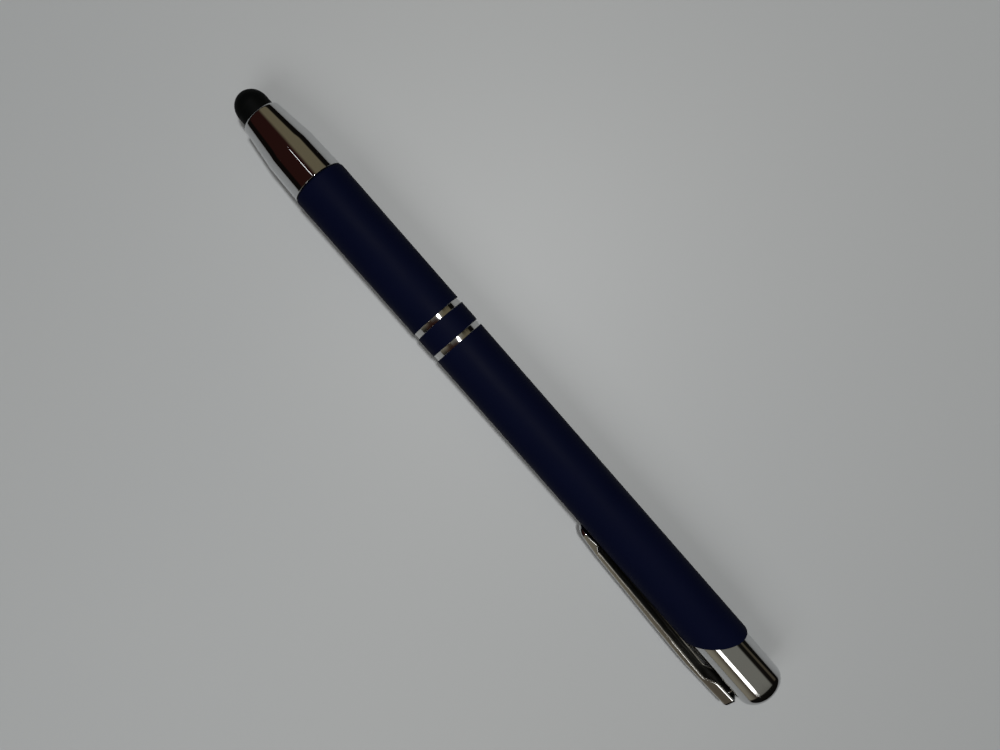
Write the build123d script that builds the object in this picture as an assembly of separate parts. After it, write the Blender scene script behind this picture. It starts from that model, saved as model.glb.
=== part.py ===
"""Click-action ballpoint pen with a stylus nose, in millimetres.

The pen lies along X, stylus towards +X, as it rests on a table: the barrel and one edge of the clip touch
the table, so the clip points towards +Y and a little down. The origin is on the pen's axis, where the
straight front band of the barrel begins behind its rounded lip. Every piece is drawn with the clip
straight towards +Y and is then rolled about X into the resting pose.
Stations are distances behind the barrel's front face, so they grow towards the plunger.
"""
import os
from math import asin, atan2, cos, degrees, hypot, pi, radians, sin, sqrt, tan

from build123d import *

# Fits, one value for each kind
press_gap = 0.02          # radial, between pieces pressed together
running_gap = 0.05        # radial, between pieces that slide or screw
seat_gap = 0.05           # along the axis, between pieces that rest against each other
overrun = 1.0             # how far a cut reaches past what it cuts

# Barrel
barrel_d = 10.0
barrel_length = 105.6     # front face to the middle of the slanted mouth
barrel_wall = 0.7
mechanism_wall = 0.4      # thinner wall round the click mechanism
mouth_slant = 31.5        # degrees, long side away from the clip
mouth_round = 0.25
lip_round = 0.5
ring_first = 30.1
ring_pitch = 5.0
ring_width = 1.06
ring_depth = 0.2
ring_count = 2

# Nose with its stylus tip
nose_length = 14.55
nose_rear_length = 7.0    # gently tapered rear part, up to the crease
nose_front_d = 7.2
nose_crease_d = 9.25
nose_step = 0.12          # how far the nose lies below the barrel, radially
nose_front_round = 0.5
nose_front_wall = 1.0
guide_step_depth = 5.55   # front face to the step between the nose's two bores
spigot_length = 8.0
spigot_wall = 0.55
bush_inset = 0.8
bush_length = 9.0
bush_wall = 0.5
dome_d = 6.0
dome_reach = 5.0
dome_lip = 0.9            # thickness of the rubber round the small hole in the crown
neck_d = 4.3
anchor_d = 5.3            # rubber flange held inside the nose
anchor_length = 1.2
guide_flange_length = 3.0

# Refill
refill_d = 3.0
refill_wall = 0.45
point_d = 2.3             # straight part of the writing point
point_length = 10.55
point_front_d = 0.95
point_neck_d = 1.6        # slim front part that comes through the rubber
point_ramp_length = 0.4   # from the slim part to the straight part
point_shank_length = 5.0
point_recess = 3.45       # writing ball behind the dome's apex when retracted
point_clear = 0.15        # radial, round the point and the refill in the nose
ball_d = 0.7
ball_reach = 0.24         # how far the ball stands out of its socket
ink_channel_d = 0.35
ink_share = 0.88          # of the room between the point's shank and the tail plug
tail_plug_length = 4.0
vent_d = 0.6
collar_d = 5.2
collar_length = 2.0

# Return spring
spring_length = 18.0      # as fitted, pen retracted
spring_wire_d = 0.4
spring_mean_d = 4.0
spring_turns = 8

# Click mechanism
click_travel = 6.5
sleeve_inset = 16.7       # rear end of the cam sleeve ahead of the middle of the mouth
sleeve_collar = 4.5
sleeve_cover = 1.0        # sleeve ahead of the cam's lugs at full press
shaft_d = 5.0
shaft_insert = 10.0       # pusher inside the plunger core
key_d = 6.2
key_width = 1.9
key_length = 3.0
key_count = 4
tooth_angle = 42.0        # degrees, flank of a crown tooth
tooth_gap = 0.08
lug_length = 3.4
index_clear = 0.2         # lugs ahead of the ribs at full press
latch_depth = 0.6
cam_gap = 0.1             # round the cam, its lugs and its spigot
cam_nose_length = 7.0
cam_socket_depth = 4.5
cam_spigot_d = 3.0
cam_spigot_length = 4.0

# Plunger
plunger_reach = 14.3      # end face behind the middle of the mouth
plunger_wall = 0.4
plunger_end_wall = 0.6
plunger_round = 1.9

# Clip
clip_length = 43.4
clip_setback = 1.5        # clip's end ahead of the plunger's end face
clip_width = 4.0
clip_sheet = 0.5
clip_flange = 1.0         # depth of the folded edges along the arm
clip_root_flange = 2.3
clip_root_length = 5.0
clip_root_ramp = 2.2
clip_root_round = 1.5
clip_tip_lift = 1.05      # outer face above the barrel: at the tip, at the bump, where it bows most, at the end
clip_bump_lift = 1.7
clip_bow_lift = 2.8
clip_end_lift = 2.33
clip_bow_setback = 11.8
clip_bow_round = 60.0
clip_bend_round = 0.9
clip_bump_length = 5.55
clip_bump_round = 0.5
clip_bump_back = 1.05     # steep rear slope of the bump
clip_bump_gap = 0.1       # bump above the barrel
clip_tip_gap = 0.35       # tip's lower edge above the barrel
clip_edge_round = 0.4
tang_width = 2.8
tang_setback = 1.7        # tang ahead of the clip's end
tang_depth = 2.4          # below the plunger's surface
tang_clear = 0.25

# Worked out: radii
barrel_r = barrel_d / 2
bore_r = barrel_r - barrel_wall
mechanism_r = barrel_r - mechanism_wall
plunger_r = mechanism_r - running_gap
shell_bore_r = plunger_r - plunger_wall
bush_bore_r = bore_r - press_gap - bush_wall
spigot_r = bush_bore_r - running_gap
nose_bore_r = spigot_r - spigot_wall
nose_rear_r = barrel_r - nose_step
neck_hole_r = neck_d / 2 + press_gap
anchor_bore_r = anchor_d / 2 + press_gap
guide_bore_r = refill_d / 2 + point_clear
refill_bore_r = refill_d / 2 - refill_wall
point_hole_r = point_d / 2 + point_clear
lip_hole_r = point_neck_d / 2 + running_gap
shaft_r = shaft_d / 2
key_r = key_d / 2
rib_bore_r = shaft_r + cam_gap
groove_r = key_r + cam_gap
tooth_height = key_width / 2 * tan(radians(tooth_angle))
clip_bow_r = barrel_r + clip_bow_lift

# Worked out: stations
nose_front = -nose_length
dome_apex = nose_front - dome_reach
anchor_front = nose_front + nose_front_wall
anchor_rear = anchor_front + anchor_length
guide_step = nose_front + guide_step_depth
guide_rear = guide_step + guide_flange_length
collar_front = guide_rear + spring_length
ball_front = dome_apex + point_recess
point_front = ball_front + ball_reach
point_rear = point_front + point_length
neck_rear = dome_apex + dome_lip + click_travel + seat_gap
sleeve_rear = barrel_length - sleeve_inset
groove_rear = sleeve_rear - sleeve_collar
key_rear = groove_rear - seat_gap
tooth_root = key_rear - key_length
tooth_crest = tooth_root - tooth_height
cam_rear = tooth_crest - tooth_gap
lug_front = cam_rear - lug_length
rib_front = cam_rear + tooth_height - click_travel + index_clear
sleeve_front = lug_front - click_travel - sleeve_cover
cam_front = lug_front - cam_nose_length
refill_tail = cam_front + cam_socket_depth - seat_gap
plunger_end = barrel_length + plunger_reach
plunger_front = sleeve_rear + click_travel + seat_gap
core_rear = plunger_end - plunger_end_wall - plunger_round + plunger_wall - seat_gap
clip_end = plunger_end - clip_setback
clip_tip = clip_end - clip_length
tang_rear = clip_end - tang_setback
tang_front = tang_rear - clip_sheet

# Roll about X that brings one outer edge of the clip down to the barrel's lowest line
edge_out = clip_bow_r - clip_edge_round
edge_side = clip_width / 2 - clip_edge_round
rest_roll = asin((barrel_r - clip_edge_round) / hypot(edge_out, edge_side)) - atan2(edge_side, edge_out)


def at(station):
    """X of a station behind the barrel's front face."""
    return lip_round - station


def flat(*points):
    """Face with a closed outline of (station, height) points."""
    return make_face(Polyline(*[(at(station), height) for station, height in points], close=True))


def turned(*points):
    """Solid of revolution from a closed outline of (station, radius) points."""
    return revolve(flat(*points), Axis.X)


def tube(front, rear, outer_r, inner_r):
    """Plain round tube between two stations."""
    return turned((front, inner_r), (front, outer_r), (rear, outer_r), (rear, inner_r))


def rod(front, rear, radius):
    """Plain round rod between two stations."""
    return turned((front, 0), (front, radius), (rear, radius), (rear, 0))


def rims(part, station, radius):
    """Round edges of a turned part at one station and radius."""
    near = press_gap / 2
    found = part.edges().filter_by(GeomType.CIRCLE)
    return [e for e in found if abs(e.arc_center.X - at(station)) < near and abs(e.radius - radius) < near]


def spokes(outline, reach, first_turn):
    """Bars of one (station, across) outline that stand out from the axis, one for each key."""
    bar = extrude(flat(*outline), reach)
    return [Rot(X=first_turn + index * 360 / key_count) * bar for index in range(key_count)]


def barrel():
    """Lacquered tube with two bright-cut rings, a rounded front lip and a slanted mouth."""
    rear = barrel_length + barrel_r * tan(radians(mouth_slant)) + overrun
    body = turned((0, bore_r), (0, barrel_r), (rear, barrel_r), (rear, mechanism_r),
                  (sleeve_front, mechanism_r), (sleeve_front, bore_r))
    body = fillet(rims(body, 0, barrel_r), lip_round)
    for index in range(ring_count):
        front = ring_first + index * ring_pitch
        body -= tube(front, front + ring_width, barrel_r + overrun, barrel_r - ring_depth)
    body &= mouth_envelope()
    edge = body.edges().filter_by(GeomType.ELLIPSE).sort_by(SortBy.LENGTH)[-1]
    return fillet(edge, mouth_round)


def mouth_envelope():
    """Everything ahead of the slanted mouth, which is long on the side away from the clip."""
    slope = tan(radians(mouth_slant))
    side = barrel_r + overrun
    face = flat((-overrun, -side), (barrel_length + side * slope, -side),
                (barrel_length - side * slope, side), (-overrun, side))
    return extrude(face, barrel_d, both=True)


def thread_bush():
    """Bush pressed into the barrel's front, which takes the nose's thread."""
    return tube(bush_inset, bush_inset + bush_length, bore_r - press_gap, bush_bore_r)


def nose_cone():
    """Turned nose: a cone in front of a crease, a gentle taper behind it and a spigot for the bush."""
    shoulder = -seat_gap
    body = turned((nose_front, neck_hole_r), (nose_front, nose_front_d / 2),
                  (-nose_rear_length, nose_crease_d / 2), (shoulder, nose_rear_r), (shoulder, spigot_r),
                  (spigot_length, spigot_r), (spigot_length, nose_bore_r), (guide_step, nose_bore_r),
                  (guide_step, anchor_bore_r), (anchor_front, anchor_bore_r), (anchor_front, neck_hole_r))
    return fillet(rims(body, nose_front, nose_front_d / 2), nose_front_round)


def stylus_tip():
    """Conductive rubber dome on a neck through the nose's front wall, with an anchor flange behind it."""
    dome_r = dome_d / 2
    dome_rear = dome_apex + dome_r
    hole_front = dome_rear - sqrt(dome_r ** 2 - lip_hole_r ** 2)
    lip_rear = dome_apex + dome_lip
    middle = (asin(lip_hole_r / dome_r) + pi / 2) / 2
    crown = ThreePointArc((at(hole_front), lip_hole_r),
                          (at(dome_rear) + dome_r * cos(middle), dome_r * sin(middle)),
                          (at(dome_rear), dome_r))
    rest = [(dome_rear, dome_r), (nose_front, dome_r), (nose_front, neck_d / 2), (anchor_front, neck_d / 2),
            (anchor_front, anchor_d / 2), (anchor_rear, anchor_d / 2), (anchor_rear, point_hole_r),
            (lip_rear, point_hole_r), (lip_rear, lip_hole_r), (hole_front, lip_hole_r)]
    sides = Polyline(*[(at(station), radius) for station, radius in rest])
    return revolve(make_face(crown.edges() + sides.edges()), Axis.X)


def tip_guide():
    """Stepped bush behind the rubber: it holds the anchor, guides the refill and seats the spring."""
    front = anchor_rear + seat_gap
    step = guide_step + seat_gap
    neck_r = anchor_bore_r - running_gap
    flange_r = nose_bore_r - running_gap
    return turned((front, guide_bore_r), (front, neck_r), (step, neck_r), (step, flange_r),
                  (guide_rear, flange_r), (guide_rear, guide_bore_r))


def refill_tube():
    """Plain plastic ink tube."""
    return tube(point_rear, refill_tail, refill_d / 2, refill_bore_r)


def refill_tip():
    """Turned writing point: slim front, shank in the tube, ink channel and a socket for the ball."""
    shank_r = refill_bore_r - press_gap
    shank_rear = point_rear + point_shank_length
    channel_r = ink_channel_d / 2
    body = turned((point_front, channel_r), (point_front, point_front_d / 2), (neck_rear, point_neck_d / 2),
                  (neck_rear + point_ramp_length, point_d / 2), (point_rear, point_d / 2),
                  (point_rear, shank_r), (shank_rear, shank_r), (shank_rear, channel_r))
    return body - ball_sphere(ball_d / 2 + press_gap)


def ball_sphere(radius):
    """Sphere about the writing ball's centre."""
    return Pos(X=at(ball_front + ball_d / 2)) * Sphere(radius)


def writing_ball():
    """Hard ball that rolls in the point's socket."""
    return ball_sphere(ball_d / 2)


def ink_column():
    """Paste ink behind the point's shank."""
    front = point_rear + point_shank_length + seat_gap
    room = refill_tail - tail_plug_length - front
    return rod(front, front + ink_share * room, refill_bore_r - press_gap)


def refill_tail_plug():
    """Vented plug in the tube's rear end."""
    return tube(refill_tail - tail_plug_length, refill_tail, refill_bore_r - press_gap, vent_d / 2)


def refill_collar():
    """Ring pressed on the tube, which the spring pushes back."""
    return tube(collar_front, collar_front + collar_length, collar_d / 2, refill_d / 2 + press_gap)


def biarc(start, start_way, end, end_way):
    """Two arcs, tangent to each other and to the directions at both ends."""
    chord = end - start
    square = 2 * start_way.dot(end_way) - 2
    half = chord.dot(start_way + end_way)
    reach = (half - sqrt(half ** 2 - square * chord.dot(chord))) / square
    before = start + start_way * reach
    after = end - end_way * reach
    middle = (before + after) / 2
    return [TangentArc(start, middle, tangent=start_way),
            TangentArc(middle, end, tangent=(after - before).normalized())]


def return_spring():
    """Open coil of round wire between the tip guide and the refill's collar."""
    mean_r = spring_mean_d / 2
    inset = spring_wire_d / 2 + seat_gap
    rate = (spring_length - 2 * inset) / (2 * pi * spring_turns)

    def point(angle):
        return Vector(at(guide_rear + inset + rate * angle), mean_r * cos(angle), mean_r * sin(angle))

    def way(angle):
        return Vector(-rate, -mean_r * sin(angle), mean_r * cos(angle)).normalized()

    path = []
    for half_turn in range(2 * spring_turns):
        first, last = half_turn * pi, (half_turn + 1) * pi
        path += biarc(point(first), way(first), point(last), way(last))
    near_turn = [(point(angle * pi / 90) - point(0)).length for angle in range(90, 270)]
    print(f"return_spring: least gap to itself {min(near_turn) - spring_wire_d:.2f} mm")
    wire_end = Plane(point(0), z_dir=way(0)) * Circle(spring_wire_d / 2)
    return sweep(wire_end, path=Wire([piece.edge() for piece in path]))


def cam_sleeve():
    """Mechanism housing: ribs and grooves inside, latch notches in the ribs' front ends."""
    half = key_width / 2 + cam_gap
    front = rib_front - overrun
    groove = [(front, -half), (front, half), (groove_rear, half), (groove_rear, -half)]
    notch = [(front, -half), (front, half), (rib_front, half), (rib_front + latch_depth, 0), (rib_front, -half)]
    bore = rod(sleeve_front - overrun, sleeve_rear, groove_r)
    cuts = Part() + spokes(groove, key_d, 0) + spokes(notch, key_d, 180 / key_count)
    body = tube(sleeve_front, sleeve_rear, mechanism_r - press_gap, rib_bore_r)
    return body - rod(sleeve_front - overrun, rib_front, groove_r) - (cuts & bore)


def toothed_pusher():
    """Shaft with keys that slide in the sleeve's grooves and a crown of pointed teeth."""
    half = key_width / 2
    key = [(key_rear, -half), (key_rear, half), (tooth_root, half), (tooth_crest, 0), (tooth_root, -half)]
    keys = (Part() + spokes(key, key_d, 0)) & rod(tooth_crest - overrun, key_rear, key_r)
    teeth = (Part() + spokes(key, key_d, 180 / key_count)) & rod(tooth_crest - overrun, key_rear, shaft_r)
    shaft = rod(tooth_root, plunger_front + shaft_insert, shaft_r)
    bore_rear = cam_rear + cam_spigot_length + cam_gap
    return shaft + keys + teeth - rod(tooth_crest - overrun, bore_rear, cam_spigot_d / 2 + cam_gap)


def rotating_cam():
    """Hub with slant-ended lugs, a spigot into the pusher and a socket for the refill's tail."""
    half = key_width / 2
    lug = [(lug_front, -half), (lug_front, half), (cam_rear - tooth_height, half), (cam_rear + tooth_height, -half)]
    ring = tube(lug_front - overrun, cam_rear + tooth_height + overrun, key_r, shaft_r)
    lugs = (Part() + spokes(lug, key_d, 0)) & ring
    hub = rod(cam_front, cam_rear, shaft_r)
    spigot = rod(cam_rear, cam_rear + cam_spigot_length, cam_spigot_d / 2)
    socket = rod(cam_front - overrun, cam_front + cam_socket_depth, refill_d / 2 + running_gap)
    return hub + lugs + spigot - socket


def tang_slot():
    """Room for the clip's tang in the plunger, with play for the clip's flexing."""
    floor = plunger_r - tang_depth - tang_clear
    face = flat((tang_front - tang_clear, floor), (tang_rear + tang_clear, floor),
                (tang_rear + tang_clear, plunger_r + overrun), (tang_front - tang_clear, plunger_r + overrun))
    return extrude(face, tang_width / 2 + tang_clear, both=True)


def plunger_shell():
    """Drawn cup with a rounded end and a slot for the clip's tang."""
    inner_end = plunger_end - plunger_end_wall
    body = turned((plunger_front, shell_bore_r), (plunger_front, plunger_r), (plunger_end, plunger_r),
                  (plunger_end, 0), (inner_end, 0), (inner_end, shell_bore_r))
    body = fillet(rims(body, plunger_end, plunger_r), plunger_round)
    body = fillet(rims(body, inner_end, shell_bore_r), plunger_round - plunger_wall)
    return body - tang_slot()


def plunger_core():
    """Moulded insert of the plunger: it takes the pusher's shaft and locks the clip's tang."""
    body = rod(plunger_front, core_rear, shell_bore_r - press_gap)
    shaft_rear = plunger_front + shaft_insert + seat_gap
    return body - rod(plunger_front - overrun, shaft_rear, shaft_r + press_gap) - tang_slot()


def clip_arm(drop):
    """Outer line of the clip from tip to end, as points lowered by a drop."""
    return [(clip_tip, barrel_r + clip_tip_lift - drop),
            (clip_tip + clip_bump_length, barrel_r + clip_bump_lift - drop),
            (clip_end - clip_bow_setback, clip_bow_r - drop),
            (clip_end, barrel_r + clip_end_lift - drop)]


def clip_height(station, drop):
    """Height of the clip's lowered outer line at a station."""
    line = clip_arm(drop)
    for (front, low), (rear, high) in zip(line, line[1:]):
        if station <= rear:
            break
    return low + (high - low) * (station - front) / (rear - front)


def clip_side():
    """Side view of the clip with its folded edges: bump at the tip, slim arm, deeper root."""
    low = sqrt(barrel_r ** 2 - (clip_width / 2 - clip_sheet) ** 2) + clip_bump_gap
    bump_rear = clip_tip + clip_bump_length
    root_rear = clip_end - clip_root_length
    root_front = root_rear - clip_root_ramp
    outline = [*clip_arm(0),
               (clip_end, clip_height(clip_end, clip_root_flange)),
               (root_rear, clip_height(root_rear, clip_root_flange)),
               (root_front, clip_height(root_front, clip_flange)),
               (bump_rear, clip_height(bump_rear, clip_flange)),
               (bump_rear - clip_bump_back, low), (clip_tip, barrel_r + clip_tip_gap)]
    face = flat(*outline)
    rounds = {1: clip_bow_round, 2: clip_bow_round, 3: clip_bend_round, 5: clip_root_round, 6: clip_root_round,
              8: clip_bump_round}
    for index, radius in rounds.items():
        station, height = outline[index]
        corner = face.vertices().sort_by_distance((at(station), height))[:1]
        face = fillet(corner, radius)
    return face


def clip_plan(inset):
    """Plan view of the clip from above, rounded at the tip, drawn in by an inset."""
    half = clip_width / 2 - inset
    straight = clip_tip + inset + half
    tip = Pos(at(straight), 0) * Circle(half)
    arm = flat((straight, -half), (straight, half), (clip_end - inset, half), (clip_end - inset, -half))
    return extrude(Plane.XZ * (tip + arm), -clip_bow_r - overrun)


def clip_rim(body):
    """Edges between the clip's outer face and its sides."""
    rim = []
    for edge in body.edges():
        spot = edge @ (1 / 2)
        across = edge.geom_type == GeomType.LINE and abs((edge % (1 / 2)).Z) > 1 / 2
        drop = clip_height(lip_round - spot.X, 0) - spot.Y
        if not across and drop < clip_sheet:
            rim.append(edge)
    return rim


def clip():
    """Spring clip of folded sheet: outer web, two side flanges, end wall and a tang for the plunger."""
    body = extrude(clip_side(), clip_width, both=True) & clip_plan(0)
    body = fillet(clip_rim(body), clip_edge_round)
    roof = clip_arm(clip_sheet)
    hollow = extrude(flat(*roof, (clip_end, 0), (clip_tip, 0)), clip_width, both=True)
    body -= hollow & clip_plan(clip_sheet)
    tang_top = clip_height(tang_rear, clip_sheet / 2)
    tang_low = plunger_r - tang_depth
    tang = flat((tang_front, tang_low), (tang_rear, tang_low), (tang_rear, tang_top), (tang_front, tang_top))
    return body + extrude(tang, tang_width / 2, both=True)


pieces = [barrel, thread_bush, cam_sleeve, nose_cone, stylus_tip, tip_guide, refill_tube, refill_tip,
          writing_ball, ink_column, refill_tail_plug, refill_collar, return_spring, rotating_cam,
          toothed_pusher, plunger_shell, plunger_core, clip]

os.makedirs("parts", exist_ok=True)
for piece in pieces:
    solid = Rot(X=-degrees(rest_roll)) * piece()
    export_step(solid, f"parts/{piece.__name__}.step")
print(f"roll at rest {degrees(rest_roll):.2f} degrees, overall length {plunger_end - dome_apex:.1f} mm")
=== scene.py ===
"""Looks of a click-action pen with a stylus nose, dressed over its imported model.

Lengths are in millimetres until a mesh is made. Every piece is drawn with the clip straight out along +Y, and
is then rolled about the pen's axis into the resting pose, as the model is. X runs along the axis, with the
stylus at +X and 0 where the barrel's straight band begins, behind its front lip.
"""

import bmesh
import bpy
import numpy as np
from mathutils import Matrix, Vector


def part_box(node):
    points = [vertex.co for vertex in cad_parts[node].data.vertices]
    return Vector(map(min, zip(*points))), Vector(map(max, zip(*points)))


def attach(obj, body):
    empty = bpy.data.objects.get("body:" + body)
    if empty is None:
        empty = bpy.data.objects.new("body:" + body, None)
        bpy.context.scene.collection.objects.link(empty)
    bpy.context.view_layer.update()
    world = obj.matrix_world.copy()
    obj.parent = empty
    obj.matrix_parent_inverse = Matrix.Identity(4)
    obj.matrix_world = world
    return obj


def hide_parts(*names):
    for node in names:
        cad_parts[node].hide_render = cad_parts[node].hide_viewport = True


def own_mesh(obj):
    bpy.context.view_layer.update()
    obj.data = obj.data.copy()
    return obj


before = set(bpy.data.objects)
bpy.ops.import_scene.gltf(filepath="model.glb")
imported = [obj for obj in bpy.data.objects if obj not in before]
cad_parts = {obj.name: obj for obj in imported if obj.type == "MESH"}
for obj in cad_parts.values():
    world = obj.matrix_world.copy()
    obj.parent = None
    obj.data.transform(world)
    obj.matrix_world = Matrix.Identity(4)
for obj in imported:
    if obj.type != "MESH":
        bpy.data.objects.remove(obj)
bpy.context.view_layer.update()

mm = 0.001


def ends(node):
    """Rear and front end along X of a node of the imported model, in mm."""
    rear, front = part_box(node)
    return rear.x / mm, front.x / mm


# Fits and small measures that many pieces share
press_gap, slide_gap, loose_gap = 0.02, 0.05, 0.15  # pieces pressed, sliding and loose in each other
broken_edge = 0.1  # round of an edge that is only broken
touch = 0.01  # lengths that differ by less are the same
weld = 0.0001  # points closer than this become one

# Barrel
barrel_front, barrel_length, barrel_r, barrel_wall, mechanism_wall = 0.5, 105.6, 5.0, 0.7, 0.4
bore_step = -69.0  # just ahead of the click mechanism's sleeve
mouth_slope = np.tan(np.radians(31.5))
ring_fronts, ring_width, ring_depth = (-29.6, -34.6), 1.06, 0.2
mouth_middle = barrel_front - barrel_length
bore_r, mechanism_r = barrel_r - barrel_wall, barrel_r - mechanism_wall

# Nose with its thread, and the bush that takes it
nose_length, nose_rear_length, spigot_length = 14.55, 7.0, 8.0
nose_front_r, crease_r, nose_step = 3.6, 4.625, 0.12
bush_inset, bush_length, bush_wall, spigot_wall = 0.8, 9.0, 0.5, 0.55
thread_pitch, thread_depth, thread_step = 0.75, 0.24, 0.07  # the step is an outline's longest on a thread
nose_front, crease = barrel_front + nose_length, barrel_front + nose_rear_length
shoulder, spigot_end = barrel_front + slide_gap, barrel_front - spigot_length
bush_front = barrel_front - bush_inset
bush_rear = bush_front - bush_length
bush_bore_r = bore_r - press_gap - bush_wall
spigot_r = bush_bore_r - slide_gap
nose_bore_r = spigot_r - spigot_wall
shoulder_r = barrel_r - nose_step

# Rubber dome, and the guide behind it that the spring rests on
dome_reach, dome_r, dome_lip, neck_r, anchor_r = 5.0, 3.0, 0.9, 2.15, 2.65
nose_front_wall, anchor_length, guide_step_depth, guide_flange = 1.0, 1.2, 5.55, 3.0
dome_apex = nose_front + dome_reach
anchor_front = nose_front - nose_front_wall
anchor_rear = anchor_front - anchor_length
guide_step = nose_front - guide_step_depth
guide_rear = guide_step - guide_flange
neck_hole_r, anchor_bore_r = neck_r + press_gap, anchor_r + press_gap

# Return spring, and the click's travel that shortens it
spring_travel, spring_room, spring_r, wire_r = 6.5, 18.0, 2.0, 0.2

# Refill
point_recess, ball_r, ball_reach, point_length, shank_length = 3.45, 0.35, 0.24, 10.55, 5.0
slim_r, point_r, channel_r = 0.8, 1.15, 0.175
refill_r, refill_wall, plug_length, vent_r = 1.5, 0.45, 4.0, 0.3
collar_r, collar_length = 2.6, 2.0
ball_middle = dome_apex - point_recess - ball_r
point_front = dome_apex - point_recess - ball_reach
point_rear = point_front - point_length
slim_rear = dome_apex - dome_lip - spring_travel - slide_gap
refill_bore_r = refill_r - refill_wall
pressed_r = refill_bore_r - press_gap  # of what is pressed into the tube
collar_front = guide_rear - spring_room
refill_tail, ink_end = ends("refill_tube")[0], ends("ink_column")[0]

# Plunger
plunger_reach, plunger_wall, plunger_end_wall, plunger_round = 14.3, 0.4, 0.6, 1.9
plunger_end, plunger_front = mouth_middle - plunger_reach, ends("plunger_shell")[1]
plunger_r = mechanism_r - slide_gap
plunger_bore_r = plunger_r - plunger_wall

# Clip: distances run back from its tip, lifts and gaps out from the barrel's surface
clip_length, clip_setback, clip_half, clip_sheet, clip_flange = 43.4, 1.5, 2.0, 0.5, 1.0
tip_lift, bump_lift, bow_lift, end_lift, tip_gap, bump_gap = 1.05, 1.7, 2.8, 2.33, 0.35, 0.1
bump_rear, bump_back, bow_setback = 5.55, 1.05, 11.8
root_length, root_ramp, root_flange = 5.0, 2.2, 2.3
bow_round, bump_round, bump_foot_round, root_round = 60.0, 0.5, 0.3, 1.5
clip_end_round, clip_edge_round = 0.9, 0.4
clip_tip = plunger_end + clip_setback + clip_length
bow, root_front = clip_length - bow_setback, clip_length - root_length
ramp_front = root_front - root_ramp

# Outer face and lower edge of the clip: distance, height out from the pen's axis, and round of each bend
root_heights = barrel_r + np.interp([ramp_front, root_front], [bow, clip_length], [bow_lift, end_lift])
bump_height = np.sqrt(barrel_r ** 2 - (clip_half - clip_sheet) ** 2) + bump_gap
clip_top = [(0, barrel_r + tip_lift, 0), (bump_rear, barrel_r + bump_lift, bow_round),
            (bow, barrel_r + bow_lift, bow_round), (clip_length, barrel_r + end_lift, 0)]
clip_edge = [(0, barrel_r + tip_gap, 0), (bump_rear - bump_back, bump_height, bump_round),
             (bump_rear, barrel_r + bump_lift - clip_flange, bump_foot_round),
             (ramp_front, root_heights[0] - clip_flange, root_round),
             (root_front, root_heights[1] - root_flange, root_round),
             (clip_length, barrel_r + end_lift - root_flange, 0)]

# Tang of the clip, and its slot in the plunger
tang_half, tang_setback, tang_depth, tang_clear = 1.4, 1.7, 2.4, 0.25
tang_middle = plunger_end + clip_setback + tang_setback + clip_sheet / 2
slot_rear, slot_front = tang_middle - clip_sheet / 2 - tang_clear, tang_middle + clip_sheet / 2 + tang_clear
slot_half = tang_half + tang_clear

# Roll at rest, which brings one outer edge of the clip down to the barrel's lowest line
edge_out, edge_side = barrel_r + bow_lift - clip_edge_round, clip_half - clip_edge_round
rest_roll = np.arcsin((barrel_r - clip_edge_round) / np.hypot(edge_out, edge_side))
rest_roll -= np.arctan2(edge_side, edge_out)


def skin(rows, columns, rows_close=False, columns_close=False):
    """Quads over a grid of points numbered row by row; either way can close on itself."""
    i = np.arange(rows if rows_close else rows - 1)[:, None]
    j = np.arange(columns if columns_close else columns - 1)[None, :]
    below, beside = (i + 1) % rows, (j + 1) % columns
    quads = [i * columns + j, i * columns + beside, below * columns + beside, below * columns + j]
    return np.stack(quads, axis=-1).reshape(-1, 4)


def fan(pole, ring):
    """Triangles from one point to every side of a closed ring of points."""
    return np.stack([np.full(len(ring), pole), ring, np.roll(ring, -1)], axis=1)


def rounded(corners, steps=8):
    """Outline through (x, y, round) corners, each drawn as an arc: it is tangent to both sides at round /
    tan(half the inner angle) from the corner, and swings evenly from one tangent point to the other about its
    centre."""
    table = np.array(corners, float)
    points, share = table[:, :2], np.linspace(0, 1, steps + 1)[:, None]
    runs = []
    for index, radius in enumerate(table[:, 2]):
        corner = points[index]
        if radius == 0:
            runs.append(corner[None])
            continue
        back = points[index - 1] - corner
        on = points[(index + 1) % len(points)] - corner
        back, on = back / np.linalg.norm(back), on / np.linalg.norm(on)
        half = np.arccos(np.clip(back @ on, -1, 1)) / 2
        centre = corner + (back + on) / np.linalg.norm(back + on) * radius / np.sin(half)
        first = corner + back * radius / np.tan(half) - centre
        last = corner + on * radius / np.tan(half) - centre
        sweep = np.pi - 2 * half
        swing = np.sin((1 - share) * sweep) * first + np.sin(share * sweep) * last
        runs.append(centre + swing / np.sin(sweep))
    return np.concatenate(runs)


def fine(outline, longest, closed=True):
    """Outline with even points added to its straight runs, so that no step is longer than a set length, which
    may differ from run to run."""
    slack = 1e-6  # a run that just fits isn't split
    end = outline if closed else outline[:-1]
    to = np.roll(outline, -1, axis=0) if closed else outline[1:]
    counts = np.ceil(np.linalg.norm(to - end, axis=1) / longest - slack).clip(1).astype(int)
    run = np.repeat(np.arange(len(end)), counts)
    within = np.arange(counts.sum()) - np.repeat(np.cumsum(counts) - counts, counts)
    share = (within / counts[run])[:, None]
    points = end[run] * (1 - share) + to[run] * share
    return points if closed else np.concatenate([points, outline[-1:]])


def sleeve(front, rear, inner_r, outer_r, edge):
    """Corners of a plain tube's section, all with the same round."""
    return [(front, inner_r, edge), (front, outer_r, edge), (rear, outer_r, edge), (rear, inner_r, edge)]


def turned(x, r, angles):
    """Surface of revolution about X: x stays, y = r cos(angle), z = r sin(angle)."""
    x, r, angles = np.broadcast_arrays(x, r, angles)
    return np.stack([x, r * np.cos(angles), r * np.sin(angles)], axis=-1)


def circle(columns):
    """Even angles round the axis."""
    return np.arange(columns)[None, :] * 2 * np.pi / columns


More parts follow.
